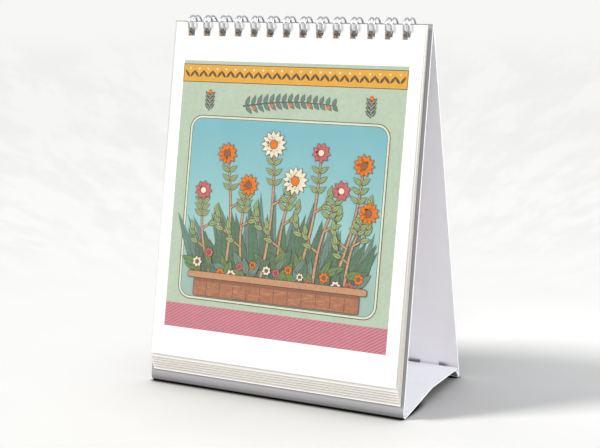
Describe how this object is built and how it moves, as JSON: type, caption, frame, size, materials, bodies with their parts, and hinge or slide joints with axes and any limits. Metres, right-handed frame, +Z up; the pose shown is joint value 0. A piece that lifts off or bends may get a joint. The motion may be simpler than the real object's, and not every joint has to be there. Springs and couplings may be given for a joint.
{
  "type": "desk calendar",
  "caption": "Monthly desk calendar: printed leaves of stepped length on a twin-loop wire, standing on a folding card easel.",
  "frame": {"origin": "on the table, under the middle of the whole calendar", "axes": "+X to the right of the person reading it, +Y away from that person, +Z up"},
  "size_m": [0.132, 0.0768, 0.1756],
  "materials": {
    "card": "smooth white, faint satin sheen",
    "paper": "smooth white printing paper",
    "wire": "bright silver"
  },
  "bodies": {
    "front_panel": {"front_panel": "card", "wire_binding": "wire"},
    "base_front": {"base_front": "card"},
    "base_rear": {"base_rear": "card"},
    "rear_riser": {"rear_riser": "card"},
    "back_panel": {"back_panel": "card"},
    "cover_leaf": {"cover_leaf": "paper"},
    "month_leaf_1": {"month_leaf_1": "paper"},
    "month_leaf_2": {"month_leaf_2": "paper"},
    "month_leaf_3": {"month_leaf_3": "paper"},
    "month_leaf_4": {"month_leaf_4": "paper"},
    "month_leaf_5": {"month_leaf_5": "paper"},
    "month_leaf_6": {"month_leaf_6": "paper"}
  },
  "joints": [
    {"name": "cover_turn", "type": "hinge", "parent": "front_panel", "child": "cover_leaf", "pos_m": [0, -0.00712, 0.17111], "axis": [-1, 0, 0], "range_deg": [0, 185]},
    {"name": "month_leaf_1_turn", "type": "hinge", "parent": "front_panel", "child": "month_leaf_1", "pos_m": [0, -0.00712, 0.17111], "axis": [-1, 0, 0], "range_deg": [0, 185]},
    {"name": "month_leaf_2_turn", "type": "hinge", "parent": "front_panel", "child": "month_leaf_2", "pos_m": [0, -0.00712, 0.17111], "axis": [-1, 0, 0], "range_deg": [0, 185]},
    {"name": "month_leaf_3_turn", "type": "hinge", "parent": "front_panel", "child": "month_leaf_3", "pos_m": [0, -0.00712, 0.17111], "axis": [-1, 0, 0], "range_deg": [0, 185]},
    {"name": "month_leaf_4_turn", "type": "hinge", "parent": "front_panel", "child": "month_leaf_4", "pos_m": [0, -0.00712, 0.17111], "axis": [-1, 0, 0], "range_deg": [0, 185]},
    {"name": "month_leaf_5_turn", "type": "hinge", "parent": "front_panel", "child": "month_leaf_5", "pos_m": [0, -0.00712, 0.17111], "axis": [-1, 0, 0], "range_deg": [0, 185]},
    {"name": "month_leaf_6_turn", "type": "hinge", "parent": "front_panel", "child": "month_leaf_6", "pos_m": [0, -0.00712, 0.17111], "axis": [-1, 0, 0], "range_deg": [0, 185]},
    {"name": "base_fold", "type": "hinge", "parent": "front_panel", "child": "base_front", "pos_m": [0, -0.03154, 0.00101], "axis": [1, 0, 0], "range_deg": [0, 72]},
    {"name": "mid_crease", "type": "hinge", "parent": "base_front", "child": "base_rear", "pos_m": [0, 0.00117, 0.00464], "axis": [-1, 0, 0], "range_deg": [0, 140.4]},
    {"name": "back_swing", "type": "hinge", "parent": "front_panel", "child": "back_panel", "pos_m": [0, -0.00712, 0.17111], "axis": [-1, 0, 0], "range_deg": [0, 3.6]},
    {"name": "rear_fold", "type": "hinge", "parent": "back_panel", "child": "rear_riser", "pos_m": [0, 0.03731, 0.00102], "axis": [-1, 0, 0], "range_deg": [0, 18]}
  ],
  "couplings": [
    {"joint": "month_leaf_1_turn", "follows": "cover_turn", "ratio": 1},
    {"joint": "month_leaf_2_turn", "follows": "cover_turn", "ratio": 1},
    {"joint": "month_leaf_3_turn", "follows": "cover_turn", "ratio": 1},
    {"joint": "month_leaf_4_turn", "follows": "cover_turn", "ratio": 1},
    {"joint": "month_leaf_5_turn", "follows": "cover_turn", "ratio": 1},
    {"joint": "month_leaf_6_turn", "follows": "cover_turn", "ratio": 1},
    {"joint": "mid_crease", "follows": "base_fold", "ratio": 1.95},
    {"joint": "back_swing", "follows": "base_fold", "ratio": 0.05},
    {"joint": "rear_fold", "follows": "base_fold", "ratio": 0.25}
  ]
}
